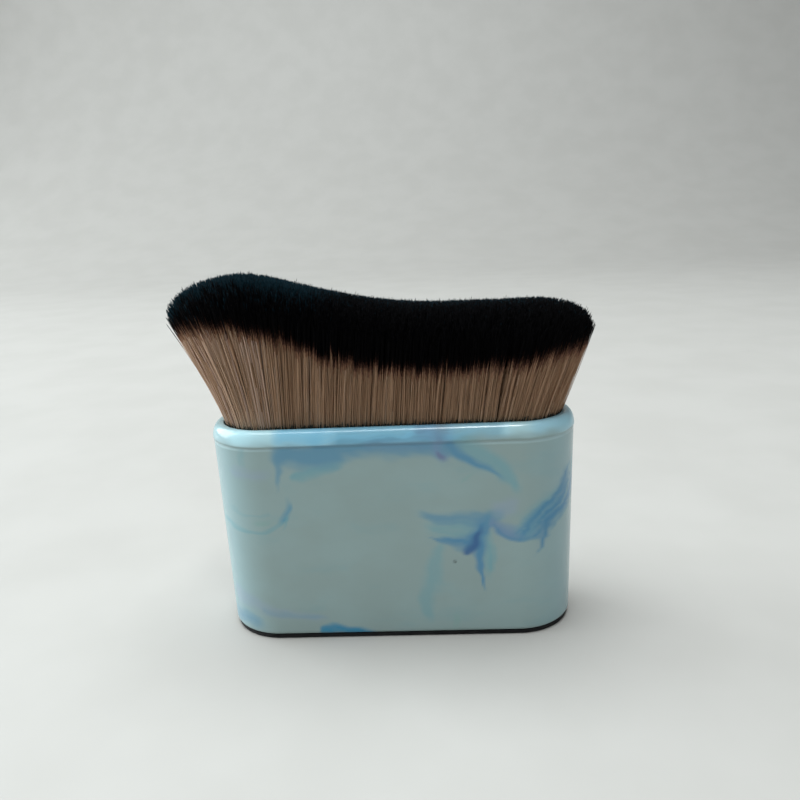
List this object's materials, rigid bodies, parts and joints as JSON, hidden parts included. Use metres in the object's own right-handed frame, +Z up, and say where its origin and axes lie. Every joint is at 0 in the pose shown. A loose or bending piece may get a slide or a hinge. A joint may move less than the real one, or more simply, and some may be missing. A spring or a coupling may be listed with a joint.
{
  "type": "body brush",
  "caption": "Short body brush with a flat round-ended marbled plastic handle that stands upright and a dense, soft, wave-cut fibre head with dark tips.",
  "frame": {"origin": "middle of the foot pad's underside, where the brush stands on a table", "axes": "+Z up from the foot pad through the fibre head, +X along the brush's length towards the low end of the wave, +Y through its depth"},
  "size_m": [0.0817, 0.0308, 0.0722],
  "materials": {
    "marbled_plastic": "polished light blue with swirled teal, blue and violet streaks",
    "two_tone_fibre": "fine synthetic fibre, brown at the root and dyed black at the tip",
    "pad_foam": "matt black closed-cell foam",
    "cup_plastic": "black moulded, satin",
    "set_adhesive": "set amber adhesive"
  },
  "bodies": {
    "root": {"foot_pad": "pad_foam", "handle_shell": "marbled_plastic", "tuft_cup": "cup_plastic", "root_plug": "set_adhesive", "bristle_hank_1": "two_tone_fibre", "bristle_hank_2": "two_tone_fibre", "bristle_hank_3": "two_tone_fibre", "bristle_hank_4": "two_tone_fibre", "bristle_hank_5": "two_tone_fibre"}
  },
  "joints": []
}
